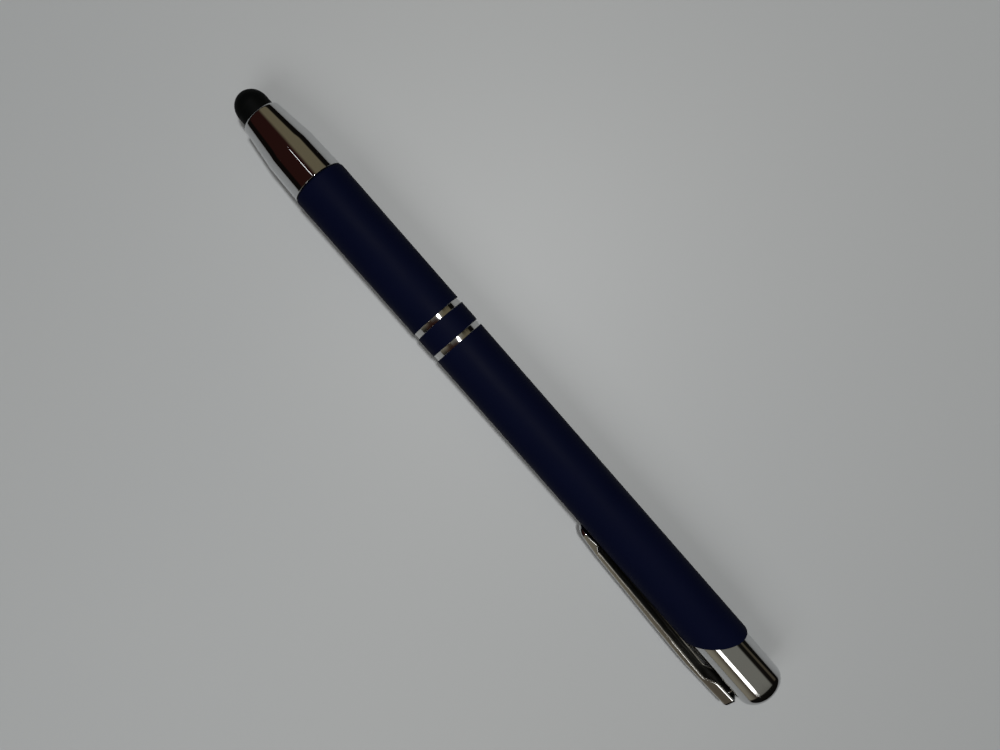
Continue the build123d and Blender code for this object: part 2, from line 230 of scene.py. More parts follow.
def capped(outline, angles):
    """Outline from axis to axis carried round the axis: the rings' points, then the two on the axis, and the
    fans from these to the end rings."""
    rings = turned(outline[1:-1, :1], outline[1:-1, 1:], angles).reshape(-1, 3)
    poles = np.array([[outline[0, 0], 0, 0], [outline[-1, 0], 0, 0]])
    around = np.arange(angles.size)
    fans = [fan(len(rings), around), fan(len(rings) + 1, len(rings) - angles.size + around[::-1])]
    return np.concatenate([rings, poles]), fans


def smooth_step(value, low, high):
    """Cubic ramp: 0 below low, 1 above high."""
    t = np.clip((value - low) / (high - low), 0, 1)
    return t * t * (3 - 2 * t)


def thread_cut(x, angles, front, rear):
    """Depth of a right-hand groove: a cosine over x / pitch - angle / turn, steepened and clipped so that
    crest and root are flat, which fades out over a pitch at both ends of its length."""
    middle, steepness = 0.5, 0.8
    wave = np.cos(2 * np.pi * x / thread_pitch - angles)
    fade = smooth_step(front - x, 0, thread_pitch) * smooth_step(x - rear, 0, thread_pitch)
    return thread_depth * np.clip(middle + steepness * wave, 0, 1) * fade


def piece(name, body, points, faces, finishes, stands_for, zones=None, sharp=32.0):
    """Object at the origin from points in mm: rolled to the resting pose, doubles merged, faces turned
    outwards and edges over an angle in degrees left sharp. It rides on a body and stands for a node."""
    cos, sin = np.cos(rest_roll), np.sin(rest_roll)
    placed = points.reshape(-1, 3) @ np.array([[1, 0, 0], [0, cos, -sin], [0, sin, cos]]) * mm
    mesh = bpy.data.meshes.new(name)
    mesh.from_pydata(placed.tolist(), [], sum((block.tolist() for block in faces), []))
    for finish in finishes:
        mesh.materials.append(finish)
    if zones is not None:
        mesh.polygons.foreach_set("material_index", zones.astype(np.int32))
    shell = bmesh.new()
    shell.from_mesh(mesh)
    bmesh.ops.remove_doubles(shell, verts=shell.verts, dist=weld * mm)
    bmesh.ops.recalc_face_normals(shell, faces=shell.faces)
    shell.to_mesh(mesh)
    shell.free()
    mesh.shade_smooth()
    mesh.set_sharp_from_angle(angle=np.radians(sharp))
    made = bpy.data.objects.new(name, mesh)
    bpy.context.scene.collection.objects.link(made)
    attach(made, body)
    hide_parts(stands_for)
    return made


def ring_piece(name, body, corners, finish, stands_for, longest=1.0, columns=96):
    """Turned piece with a bore: a closed outline carried once round the axis."""
    outline = fine(rounded(corners), longest)
    points = turned(outline[:, :1], outline[:, 1:], circle(columns))
    faces = [skin(len(outline), columns, True, True)]
    return piece(name, body, points, faces, [finish], stands_for)


def solid_piece(name, body, outline, finish, stands_for, columns=96):
    """Turned piece with no bore: an outline from axis to axis, whose two end points close the ends."""
    points, fans = capped(outline, circle(columns))
    faces = [skin(len(outline) - 2, columns, columns_close=True), *fans]
    return piece(name, body, points, faces, [finish], stands_for)


def hex_colour(code):
    """Linear colour of an sRGB hex value."""
    srgb = np.array([int(code[at:at + 2], 16) for at in (1, 3, 5)]) / 255
    linear = np.where(srgb <= 0.04045, srgb / 12.92, ((srgb + 0.055) / 1.055) ** 2.4)
    return (*linear.tolist(), 1.0)


def add(tree, kind, settings, links=None):
    """One node of a kind, with its properties and sockets set and its inputs linked."""
    made = tree.nodes.new("ShaderNode" + kind)
    for key, value in settings.items():
        if isinstance(key, str) and hasattr(made, key):
            setattr(made, key, value)
        else:
            made.inputs[key].default_value = value
    for key, source in (links or {}).items():
        tree.links.new(source, made.inputs[key])
    return made


def blank(name):
    """Empty node material, its tree, and the Object coordinates that its patterns read."""
    material = bpy.data.materials.new(name)
    material.use_nodes = True
    tree = material.node_tree
    tree.nodes.clear()
    return material, tree, add(tree, "TexCoord", {}).outputs["Object"]


# Settings and sockets of nodes that mix two colours, and the span in which a noise mostly lies
colour_mix = {"data_type": "RGBA"}
mix_share, mix_under, mix_over, mix_colour = 0, 6, 7, 2
noise_span = {"From Min": 0.3, "From Max": 0.7}


def soft_touch_lacquer():
    """Soft-touch lacquer, sprayed over a drawn aluminium tube: velvety and dark, with no clear reflection, a
    faint grain and patches that fingers have polished."""
    material, tree, place = blank("soft_touch_lacquer")
    patch_size = 9 * mm
    grain_size = 0.3 * mm  # really about 0.05 mm; drawn coarser so that it shows
    patches = add(tree, "TexNoise", {"Scale": 1 / patch_size, "Detail": 3.0}, {"Vector": place})
    grain = add(tree, "TexNoise", {"Scale": 1 / grain_size, "Detail": 2.0}, {"Vector": place})
    colour = add(tree, "Mix",
                 {**colour_mix, mix_under: hex_colour("#05081A"), mix_over: hex_colour("#070A1E")},
                 {mix_share: patches.outputs["Fac"]})
    gloss = add(tree, "MapRange", {**noise_span, "To Min": 0.5, "To Max": 0.62},
                {"Value": patches.outputs["Fac"]})
    bump = add(tree, "Bump", {"Strength": 0.25, "Distance": 0.02 * mm}, {"Height": grain.outputs["Fac"]})
    shader = add(tree, "BsdfPrincipled", {"IOR": 1.5, "Specular IOR Level": 0.022},
                 {"Base Color": colour.outputs[mix_colour], "Roughness": gloss.outputs[0],
                  "Normal": bump.outputs[0]})
    add(tree, "OutputMaterial", {}, {"Surface": shader.outputs[0]})
    return material


def turned_metal(name, code, roughness, feed, depth):
    """Turned metal: bright, with fine tool lines round the axis at the lathe's feed and a slight change of
    gloss from place to place."""
    material, tree, place = blank(name)
    patch_size, dullest = 2.5 * mm, 1.6 * roughness
    band_size = np.pi / 10  # of one band of a wave whose scale is 1
    patches = add(tree, "TexNoise", {"Scale": 1 / patch_size, "Detail": 4.0}, {"Vector": place})
    lines = add(tree, "TexWave", {"Scale": band_size / (feed * mm), "Distortion": 0.4, "Detail": 2.0},
                {"Vector": place})
    gloss = add(tree, "MapRange", {**noise_span, "To Min": roughness, "To Max": dullest},
                {"Value": patches.outputs["Fac"]})
    bump = add(tree, "Bump", {"Strength": 0.5, "Distance": depth * mm}, {"Height": lines.outputs["Fac"]})
    shader = add(tree, "BsdfPrincipled", {"Base Color": hex_colour(code), "Metallic": 1.0},
                 {"Roughness": gloss.outputs[0], "Normal": bump.outputs[0]})
    add(tree, "OutputMaterial", {}, {"Surface": shader.outputs[0]})
    return material


def plating(name, code, roughness):
    """Chromium plating: over polished metal it is a mirror, over metal left as rolled it is dull. It has a
    trace of polishing hairlines along the pen and a slight waviness of the metal under it."""
    material, tree, place = blank(name)
    wave_size, dullest = 4 * mm, 1.7 * roughness
    hair_size = 0.15 * mm  # across a hairline, really about 0.02 mm; drawn coarser so that it shows
    along_share = 0.06  # of lengths along the pen, which draws the hairlines out
    along = add(tree, "Mapping", {"Scale": (along_share, 1, 1)}, {"Vector": place})
    hairs = add(tree, "TexNoise", {"Scale": 1 / hair_size, "Detail": 3.0}, {"Vector": along.outputs[0]})
    waves = add(tree, "TexNoise", {"Scale": 1 / wave_size, "Detail": 1.0}, {"Vector": place})
    gloss = add(tree, "MapRange",
                {"From Min": 0.45, "From Max": 0.75, "To Min": roughness, "To Max": dullest},
                {"Value": hairs.outputs["Fac"]})
    bump = add(tree, "Bump", {"Strength": 0.1, "Distance": 0.02 * mm}, {"Height": waves.outputs["Fac"]})
    shader = add(tree, "BsdfPrincipled", {"Base Color": hex_colour(code), "Metallic": 1.0},
                 {"Roughness": gloss.outputs[0], "Normal": bump.outputs[0]})
    add(tree, "OutputMaterial", {}, {"Surface": shader.outputs[0]})
    return material


def conductive_rubber():
    """Carbon-filled silicone rubber, moulded: near black and satin, with a fine pebble and paler specks of
    dust."""
    material, tree, place = blank("conductive_rubber")
    dust_size = 0.6 * mm
    pebble_size = 0.25 * mm  # really about 0.1 mm; drawn coarser so that it shows
    pebble = add(tree, "TexNoise", {"Scale": 1 / pebble_size, "Detail": 3.0}, {"Vector": place})
    dust = add(tree, "TexNoise", {"Scale": 1 / dust_size, "Detail": 6.0, "Roughness": 0.7}, {"Vector": place})
    share = add(tree, "MapRange", {"From Min": 0.58, "From Max": 0.8, "To Min": 0.0, "To Max": 0.5},
                {"Value": dust.outputs["Fac"]})
    colour = add(tree, "Mix",
                 {**colour_mix, mix_under: hex_colour("#050606"), mix_over: hex_colour("#121211")},
                 {mix_share: share.outputs[0]})
    gloss = add(tree, "MapRange", {**noise_span, "To Min": 0.5, "To Max": 0.66},
                {"Value": pebble.outputs["Fac"]})
    bump = add(tree, "Bump", {"Strength": 0.35, "Distance": 0.03 * mm}, {"Height": pebble.outputs["Fac"]})
    shader = add(tree, "BsdfPrincipled", {"IOR": 1.43, "Specular IOR Level": 0.045},
                 {"Base Color": colour.outputs[mix_colour], "Roughness": gloss.outputs[0],
                  "Normal": bump.outputs[0]})
    add(tree, "OutputMaterial", {}, {"Surface": shader.outputs[0]})
    return material


def moulded_plastic(name, code, shade, ior, clear=0.0):
    """Injection-moulded plastic: satin, with a fine spark-eroded grain and faint flow clouds in its
    colour."""
    material, tree, place = blank(name)
    cloud_size = 5 * mm
    grain_size = 0.2 * mm  # really about 0.03 mm; drawn coarser so that it shows
    clouds = add(tree, "TexNoise", {"Scale": 1 / cloud_size, "Detail": 2.0}, {"Vector": place})
    grain = add(tree, "TexNoise", {"Scale": 1 / grain_size, "Detail": 2.0}, {"Vector": place})
    colour = add(tree, "Mix", {**colour_mix, mix_under: hex_colour(code), mix_over: hex_colour(shade)},
                 {mix_share: clouds.outputs["Fac"]})
    gloss = add(tree, "MapRange", {**noise_span, "To Min": 0.32, "To Max": 0.46},
                {"Value": grain.outputs["Fac"]})
    bump = add(tree, "Bump", {"Strength": 0.2, "Distance": 0.01 * mm}, {"Height": grain.outputs["Fac"]})
    shader = add(tree, "BsdfPrincipled", {"IOR": ior, "Transmission Weight": clear},
                 {"Base Color": colour.outputs[mix_colour], "Roughness": gloss.outputs[0],
                  "Normal": bump.outputs[0]})
    add(tree, "OutputMaterial", {}, {"Surface": shader.outputs[0]})
    return material


lacquer = soft_touch_lacquer()
bright_cut = turned_metal("bright_cut_aluminium", "#C8C8C7", roughness=0.06, feed=0.2, depth=0.003)
bare_aluminium = turned_metal("bare_aluminium", "#C3C5C8", roughness=0.25, feed=0.3, depth=0.01)
brass = turned_metal("turned_brass", "#D9B566", roughness=0.2, feed=0.25, depth=0.008)
nickel_silver = turned_metal("turned_nickel_silver", "#CDBE96", roughness=0.16, feed=0.2, depth=0.005)
carbide = turned_metal("lapped_carbide", "#8E8F92", roughness=0.12, feed=0.1, depth=0.001)
spring_steel = turned_metal("drawn_spring_steel", "#A9ABAE", roughness=0.22, feed=0.15, depth=0.004)
nose_plating = plating("plated_nose_aluminium", "#C9CACB", roughness=0.04)
plunger_plating = plating("plated_plunger_aluminium", "#C9CACB", roughness=0.04)
clip_plating = plating("plated_clip_steel", "#C9CACB", roughness=0.04)
# Shear-cut edge along the clip's arm: rougher than the plated faces, and darker with a khaki tone, which is
# painted shade and reflection that dims the lamp's highlight there
clip_shear_and_shade = plating("shear_cut_edge_and_painted_shade", "#A8A59C", roughness=0.4)
# Inside of the clip: rougher plating, darkened to grey as painted shade for the channel between clip and
# barrel, which lies in shadow
clip_inside_shade = plating("clip_inside_painted_shade", "#5C5B58", roughness=0.3)
rubber = conductive_rubber()
white_acetal = moulded_plastic("white_acetal", "#E2E1DB", "#D8D7D0", ior=1.48)
black_acetal = moulded_plastic("black_acetal", "#141415", "#1B1B1D", ior=1.48)
grey_acetal = moulded_plastic("grey_acetal", "#8A8C90", "#7E8084", ior=1.48)
blue_acetal = moulded_plastic("blue_acetal", "#2B55A0", "#244A90", ior=1.48)
refill_plastic = moulded_plastic("clear_polypropylene", "#E4E8EA", "#DCE2E6", ior=1.49, clear=0.6)
paste_ink = moulded_plastic("blue_paste_ink", "#0A1038", "#101A4A", ior=1.5)


def lacquered_barrel(columns=192):
    """Tube turned from one closed outline. Towards the mouth its rows lean with the slanted cut: x grows by
    k * slope * r * cos(angle), where k goes from 0 to 1 ahead of the mouth. What lies deeper than the
    lacquer's film is the bright cut of a ring, and the bore is bare."""
    lip_round, rim_round, floor_round, mouth_round, inner_mouth_round = 0.5, 0.05, 0.06, 0.25, 0.08
    lean_start, lean_lead, longest = -90.0, 0.3, 1.2
    lacquer_film, bare_rim, ring_margin = 0.03, 0.02, 0.2
    floor_r, lean_end = barrel_r - ring_depth, mouth_middle + lean_lead
    corners = [(barrel_front, bore_r, broken_edge), (barrel_front, barrel_r, lip_round)]
    for front in ring_fronts:
        rear = front - ring_width
        corners += [(front, barrel_r, rim_round), (front, floor_r, floor_round),
                    (rear, floor_r, floor_round), (rear, barrel_r, rim_round)]
    corners += [(mouth_middle, barrel_r, mouth_round), (mouth_middle, mechanism_r, inner_mouth_round),
                (bore_step, mechanism_r, 0), (bore_step, bore_r, 0)]
    outline = fine(rounded(corners), longest)
    x, r, angles = outline[:, :1], outline[:, 1:], circle(columns)
    lean = np.clip((x - lean_start) / (lean_end - lean_start), 0, 1)
    points = turned(x + lean * mouth_slope * r * np.cos(angles), r, angles)
    middle_x, middle_r = ((outline + np.roll(outline, -1, axis=0)) / 2).T
    in_ring = (middle_r < barrel_r - lacquer_film) & (middle_x < ring_fronts[0] + ring_margin)
    in_ring &= middle_x > ring_fronts[-1] - ring_width - ring_margin
    in_bore = middle_r < mechanism_r + bare_rim
    zones = np.repeat(np.select([in_bore, in_ring], [2, 1], 0), columns)
    faces = [skin(len(outline), columns, True, True)]
    return piece("lacquered_barrel", "barrel", points, faces, [lacquer, bright_cut, bare_aluminium], "barrel",
                 zones)


def plated_nose(columns=192):
    """Turned nose: cone, softened crease, gentle taper, then a relief and a spigot whose radius is cut by a
    thread."""
    relief_length, relief_depth, thread_inset = 1.2, 0.3, 0.2
    front_round, crease_round, spigot_round, longest = 0.5, 12.0, 0.3, 0.5
    relief, relief_r = shoulder - relief_length, spigot_r - relief_depth
    thread_front, thread_rear = relief - relief_depth, spigot_end + thread_inset
    corners = [(nose_front, neck_hole_r, broken_edge), (nose_front, nose_front_r, front_round),
               (crease, crease_r, crease_round), (shoulder, shoulder_r, broken_edge),
               (shoulder, relief_r, broken_edge), (relief, relief_r, broken_edge),
               (thread_front, spigot_r, 0), (spigot_end, spigot_r, spigot_round),
               (spigot_end, nose_bore_r, broken_edge), (guide_step, nose_bore_r, 0),
               (guide_step, anchor_bore_r, 0), (anchor_front, anchor_bore_r, 0),
               (anchor_front, neck_hole_r, 0)]
    outline = rounded(corners)
    on_spigot = (outline[:, 0] < relief) & (outline[:, 1] > spigot_r - touch)
    outline = fine(outline, np.where(on_spigot, thread_step, longest))
    x, r, angles = outline[:, :1], outline[:, 1:], circle(columns)
    outside = (r > (nose_bore_r + spigot_r) / 2) & (x < relief)
    r = r - outside * thread_cut(x, angles, thread_front, thread_rear)
    faces = [skin(len(outline), columns, True, True)]
    return piece("plated_nose", "nose", turned(x, r, angles), faces, [nose_plating], "nose_cone",
                 sharp=24.0)


def rubber_dome():
    """Rubber tip: a sphere's crown round a small hole for the point, a straight skirt, a neck and an anchor
    flange. Behind the lip the hole widens to a bore. The crown starts a small angle off the hole, to leave
    room for the round of its lip."""
    lip_round, skirt_round, lip_angle, crown_points = 0.15, 0.18, 0.1, 40
    middle, lip_rear = dome_apex - dome_r, dome_apex - dome_lip
    hole_r, wide_r = slim_r + slide_gap, point_r + loose_gap
    swing = np.linspace(np.arcsin(hole_r / dome_r) + lip_angle, np.pi / 2, crown_points)
    crown = np.stack([middle + dome_r * np.cos(swing), dome_r * np.sin(swing), 0 * swing], axis=1)
    corners = [(middle + np.sqrt(dome_r ** 2 - hole_r ** 2), hole_r, lip_round), *crown,
               (nose_front, dome_r, skirt_round), (nose_front, neck_r, broken_edge),
               (anchor_front, neck_r, 0), (anchor_front, anchor_r, 0), (anchor_rear, anchor_r, 0),
               (anchor_rear, wide_r, 0), (lip_rear, wide_r, broken_edge), (lip_rear, hole_r, broken_edge)]
    return ring_piece("rubber_dome", "nose", corners, rubber, "stylus_tip", longest=0.3,
                      columns=128)


def plated_plunger(columns=176, across=16):
    """Drawn cup with a slightly domed end: an outline from the end's middle, along the outside, over the
    front rim and back inside. Two of its columns lie on the slot's sides; the quads between them there are
    left out and the slot gets walls."""
    half_way_rise, side_rise, round_steps, longest = 0.06, 0.16, 16, 0.5
    inner_end = plunger_end + plunger_end_wall
    corners = [(plunger_end, 0, 0), (plunger_end + half_way_rise, (plunger_r - plunger_round) / 2, 0),
               (plunger_end + side_rise, plunger_r, plunger_round), (slot_rear, plunger_r, 0),
               (slot_front, plunger_r, 0), (plunger_front, plunger_r, broken_edge),
               (plunger_front, plunger_bore_r, broken_edge), (slot_front, plunger_bore_r, 0),
               (slot_rear, plunger_bore_r, 0), (inner_end, plunger_bore_r, plunger_round - plunger_wall),
               (inner_end, 0, 0)]
    outline = fine(rounded(corners, round_steps), longest, closed=False)
    half = np.arcsin(slot_half / plunger_r)
    angles = np.concatenate([np.linspace(-half, half, across + 1),
                             np.linspace(half, 2 * np.pi - half, columns - across + 1)[1:-1]])
    points, fans = capped(outline, angles)
    rings = outline[1:-1]

    def row(x, r):
        return int(np.argmin(np.hypot(rings[:, 0] - x, rings[:, 1] - r)))

    outer_rows = np.arange(row(slot_rear, plunger_r), row(slot_front, plunger_r) + 1)
    inner_rows = np.arange(row(slot_front, plunger_bore_r), row(slot_rear, plunger_bore_r) + 1)[::-1]
    quads = skin(len(rings), columns, columns_close=True)
    of_row, of_column = np.divmod(np.arange(len(quads)), columns)
    cut_rows = np.concatenate([outer_rows[:-1], inner_rows[1:]])
    quads = quads[~(np.isin(of_row, cut_rows) & (of_column < across))]
    sides = np.arange(across + 1)
    walls = []
    for outer, inner in ((outer_rows[0] * columns + sides, inner_rows[0] * columns + sides),
                         (outer_rows[-1] * columns + sides, inner_rows[-1] * columns + sides),
                         (outer_rows * columns, inner_rows * columns),
                         (outer_rows * columns + across, inner_rows * columns + across)):
        walls.append(np.stack([outer[:-1], outer[1:], inner[1:], inner[:-1]], axis=1))
    return piece("plated_plunger", "plunger", points, [quads, *walls, *fans], [plunger_plating],
                 "plunger_shell")


def clip_plan(half, rear, corner):
    """Closed plan of one face of the clip: (distance from the tip, side) points and their inward directions.
    Two straight sides, a half circle round the tip and a rear end with two rounded corners."""
    side_count, tip_count, short_count, bend_count, back_count = 230, 50, 6, 8, 16
    short_length = 1.2  # of the sides' last part, whose length differs between the two faces
    run = np.linspace(clip_length - short_length, clip_half, side_count)
    tip = np.linspace(np.pi / 2, -np.pi / 2, tip_count)[1:-1]
    short = np.linspace(clip_length - short_length, rear - corner, short_count)[1:]
    bend = np.linspace(-np.pi / 2, 0, bend_count)[1:]
    back = np.linspace(-1, 1, back_count)[1:-1] * (half - corner)
    flat, up = np.ones_like(run), np.ones_like(short)
    bend_s, bend_side = rear - corner + corner * np.cos(bend), half - corner - corner * np.sin(bend)
    s = np.concatenate([run, clip_half - half * np.cos(tip), run[::-1], short, bend_s,
                        np.full(len(back), rear), bend_s[::-1], short[::-1]])
    side = np.concatenate([half * flat, half * np.sin(tip), -half * flat, -half * up, -bend_side, back,
                           bend_side[::-1], half * up])
    in_s = np.concatenate([0 * flat, np.cos(tip), 0 * flat, 0 * up, -np.cos(bend), -np.ones(len(back)),
                           -np.cos(bend)[::-1], 0 * up])
    in_side = np.concatenate([-flat, -np.sin(tip), flat, up, -np.sin(bend), 0 * back, np.sin(bend)[::-1],
                              -up])
    return s, side, in_s, in_side


def clip_wall(half, rear, corner, drop, edge, rim):
    """One face of the folded sheet: from the flanges' lower edge, raised for the half-round rim, up the wall,
    over a rounded edge and in to the spine, carried round the plan. Heights follow the clip's bowed outer
    line, lowered by a drop, and that line comes down in an arc at the rear."""
    top_steps, edge_steps, wall_rows, bend_rows, web_rows = 24, 12, 8, 9, 8
    line = rounded(clip_top, top_steps)
    edge_line = rounded(clip_edge, edge_steps)
    arc = clip_end_round - drop

    def top(s):
        past = np.clip((s - (rear - arc)) / arc, 0, 1)
        return np.interp(s, line[:, 0], line[:, 1]) - drop - arc * (1 - np.sqrt(1 - past ** 2))

    s, side, in_s, in_side = clip_plan(half, rear, corner)
    low = np.interp(s, edge_line[:, 0], edge_line[:, 1]) + rim
    high = top(s) - edge
    share = np.linspace(0, 1, wall_rows)[:, None]
    wall = np.stack([s + 0 * share, low + (high - low) * share, side + 0 * share], axis=-1)
    swing = np.linspace(0, np.pi / 2, bend_rows)[1:, None]
    inset = edge * (1 - np.cos(swing))
    s_bend = s + in_s * inset
    bend = np.stack([s_bend, top(s_bend) - edge * (1 - np.sin(swing)), side + in_side * inset], axis=-1)
    share = np.linspace(0, 1, web_rows)[1:, None]
    s_web = s_bend[-1] * (1 - share) + np.clip(s, clip_half, rear - clip_half) * share
    web = np.stack([s_web, top(s_web), (side + in_side * edge) * (1 - share)], axis=-1)
    return np.concatenate([wall, bend, web])


def tang_plate():
    """Tang from the clip's web into the plunger: a rounded rectangle carried outwards, its two ends closed by
    rows that draw in to the middle."""
    corner, corner_steps, longest = 0.14, 4, 0.3
    foot, foot_bevel, foot_share = plunger_r - tang_depth, 0.1, 0.8
    waist, top, waist_rows = 3.4, 7.0, 4
    thick = clip_sheet / 2
    corners = [(-thick, -tang_half, corner), (thick, -tang_half, corner), (thick, tang_half, corner),
               (-thick, tang_half, corner)]
    plan = fine(rounded(corners, corner_steps), longest)
    height = np.array([foot, foot, foot + foot_bevel, *np.linspace(waist, top, waist_rows), top])[:, None]
    size = np.array([0, foot_share, 1, *np.ones(waist_rows), 0])[:, None]
    x = tang_middle + plan[:, 0] * size
    return np.stack([x, height + 0 * x, plan[:, 1] * size], axis=-1)


def folded_clip():
    """Spring clip of folded sheet: an outer and an inner face joined along the lower edge by a half-round
    rim, middle + cos * half the step between the faces - sin * rim, and the tang. Along the arm the rim is
    left as the shear cut it: rougher, and darker with a khaki tone, which is painted shade and reflection.
    The inner face is darkened as painted shade."""
    rim_share, rim_rows = 0.45, 9
    outer_corner, inner_corner, inner_edge_round = 0.5, 0.12, 0.08
    rim = rim_share * clip_sheet
    walls = [clip_wall(clip_half, clip_length, outer_corner, 0.0, clip_edge_round, rim),
             clip_wall(clip_half - clip_sheet, clip_length - clip_sheet, inner_corner, clip_sheet,
                       inner_edge_round, rim)]
    rows, columns = walls[0].shape[:2]
    outer, inner = (np.stack([clip_tip - wall[..., 0], wall[..., 1], wall[..., 2]], axis=-1)
                    for wall in walls)
    swing = np.linspace(0, np.pi, rim_rows)[:, None, None]
    bead = (outer[0] + inner[0]) / 2 + np.cos(swing) * (outer[0] - inner[0]) / 2
    bead[..., 1] -= (np.sin(swing) * rim)[..., 0]
    tang = tang_plate()
    points = np.concatenate([block.reshape(-1, 3) for block in (outer, inner, bead, tang)])
    quads = skin(rows, columns, columns_close=True)
    bead_quads = skin(rim_rows, columns, columns_close=True) + 2 * rows * columns
    tang_quads = skin(*tang.shape[:2], columns_close=True) + (2 * rows + rim_rows) * columns
    faces = [quads, quads + rows * columns, bead_quads, tang_quads]
    back = clip_tip - points[bead_quads[:, 0], 0]
    # Along the arm the rim takes the shear-cut edge's finish, whose darker khaki tone is painted shade
    rim_shear_and_shade = np.where((back > bump_rear) & (back < ramp_front), 2, 0)
    # The inner face takes the plating darkened as painted shade
    zones = np.concatenate([np.zeros(len(quads)), np.ones(len(quads)), rim_shear_and_shade, np.zeros(len(tang_quads))])
    return piece("folded_clip", "clip", points, faces, [clip_plating, clip_inside_shade, clip_shear_and_shade], "clip",
                 zones, sharp=40.0)


def coil_spring(turns=10, steps=60, sides=12):
    """Wire of round section along a helix whose two end turns lie close: the advance per turn ramps between
    a close and an open pitch, which are scaled alike to fill the room, and the section's points are
    centre + wire radius * (cos * outward + sin * across)."""
    close_pitch, open_pitch, close_turns, ramp_end = 0.42, 2.12, 0.7, 1.5
    t = np.linspace(0, 1, steps * turns + 1)
    opened = smooth_step(t * turns, close_turns, ramp_end)
    opened *= smooth_step((1 - t) * turns, close_turns, ramp_end)
    pitch = close_pitch + opened * (open_pitch - close_pitch)
    run = np.concatenate([[0], np.cumsum((pitch[1:] + pitch[:-1]) / 2)])
    length = spring_room - 2 * slide_gap - 2 * wire_r
    x = guide_rear - slide_gap - wire_r - length * run / run[-1]
    angle = 2 * np.pi * turns * t
    middle = turned(x, spring_r, angle)
    outward = turned(0 * x, 1.0, angle)
    way = np.gradient(middle, axis=0)
    way /= np.linalg.norm(way, axis=1, keepdims=True)
    across = np.cross(way, outward)
    swing = circle(sides).T
    wire = middle[:, None] + wire_r * (np.cos(swing) * outward[:, None] + np.sin(swing) * across[:, None])
    points = np.concatenate([wire.reshape(-1, 3), middle[:1], middle[-1:]])
    around, count = np.arange(sides), len(wire) * sides
    faces = [skin(len(wire), sides, columns_close=True), fan(count, around[::-1]),
             fan(count + 1, count - sides + around)]
    return piece("coil_spring", "barrel", points, faces, [spring_steel], "return_spring")


def threaded_bush(columns=128):
    """Bush in the barrel's front: a closed outline whose bore is cut outwards by the nose's thread."""
    edge, longest, plain_length, thread_inset = 0.15, 0.6, 1.0, 0.2
    outline = rounded(sleeve(bush_front, bush_rear, bush_bore_r, bore_r - press_gap, edge))
    in_bore = (np.abs(outline[:, 1] - bush_bore_r) < touch) & (outline[:, 0] < bush_front - plain_length)
    outline = fine(outline, np.where(in_bore, thread_step, longest))
    x, r, angles = outline[:, :1], outline[:, 1:], circle(columns)
    cut = thread_cut(x, angles, bush_front - thread_inset, bush_rear + thread_inset)
    r = r + (r < bush_bore_r + touch) * cut
    faces = [skin(len(outline), columns, True, True)]
    return piece("threaded_bush", "barrel", turned(x, r, angles), faces, [brass], "thread_bush")


def turned_point():
    """Writing point: a slim cone down to the ball's socket, a straight stem, a shank and the ink channel. The
    socket is an arc about the ball's middle, from the channel to the rim."""
    rim_r, front_r, cone_r, front_length, cone_step, ramp_length = 0.475, 0.52, 0.6, 0.5, 0.1, 0.4
    rim_round, cone_round, stem_round, socket_points = 0.06, 0.05, 0.2, 12
    shank_rear, front_end = point_rear - shank_length, point_front - front_length
    socket_r = ball_r + press_gap
    swing = np.linspace(np.pi - np.arcsin(channel_r / socket_r),
                        np.arccos((point_front - ball_middle) / socket_r), socket_points)
    socket = np.stack([ball_middle + socket_r * np.cos(swing), socket_r * np.sin(swing), 0 * swing], axis=1)
    corners = [(point_front, rim_r, rim_round), (front_end, front_r, broken_edge),
               (front_end - cone_step, cone_r, cone_round), (slim_rear, slim_r, stem_round),
               (slim_rear - ramp_length, point_r, stem_round), (point_rear, point_r, 0),
               (point_rear, pressed_r, 0), (shank_rear, pressed_r, broken_edge), (shank_rear, channel_r, 0),
               *socket]
    return ring_piece("turned_point", "refill", corners, nickel_silver, "refill_tip",
                      longest=0.4)


def rolling_ball(rows=33):
    """Writing ball: a half circle turned about the axis."""
    swing = np.linspace(0, np.pi, rows)
    outline = np.stack([ball_middle + ball_r * np.cos(swing), ball_r * np.sin(swing)], axis=1)
    return solid_piece("rolling_ball", "ball", outline, carbide, "writing_ball", columns=48)


def guide_bush():
    """Guide in the nose, moulded: a neck behind the rubber's anchor and a flange in the wider bore."""
    edge = 0.15
    front, step = anchor_rear - slide_gap, guide_step - slide_gap
    inner_r, front_r, flange_r = refill_r + loose_gap, anchor_bore_r - slide_gap, nose_bore_r - slide_gap
    corners = [(front, inner_r, broken_edge), (front, front_r, edge), (step, front_r, 0),
               (step, flange_r, edge), (guide_rear, flange_r, broken_edge),
               (guide_rear, inner_r, broken_edge)]
    return ring_piece("guide_bush", "guide", corners, black_acetal, "tip_guide")


def ink_tube():
    """Refill's tube, a plain sleeve with slightly rounded ends."""
    corners = sleeve(point_rear, refill_tail, refill_bore_r, refill_r, edge=0.08)
    return ring_piece("ink_tube", "refill", corners, refill_plastic, "refill_tube",
                      longest=2.0)


def vent_plug():
    """Plug in the tube's tail, with a hole that lets air in behind the ink."""
    corners = sleeve(refill_tail + plug_length, refill_tail, vent_r, pressed_r, edge=0.08)
    return ring_piece("vent_plug", "refill", corners, white_acetal, "refill_tail_plug")


def stop_ring():
    """Ring on the tube that the spring pushes back."""
    corners = sleeve(collar_front, collar_front - collar_length, refill_r + press_gap, collar_r, edge=0.2)
    return ring_piece("stop_ring", "refill", corners, white_acetal, "refill_collar")


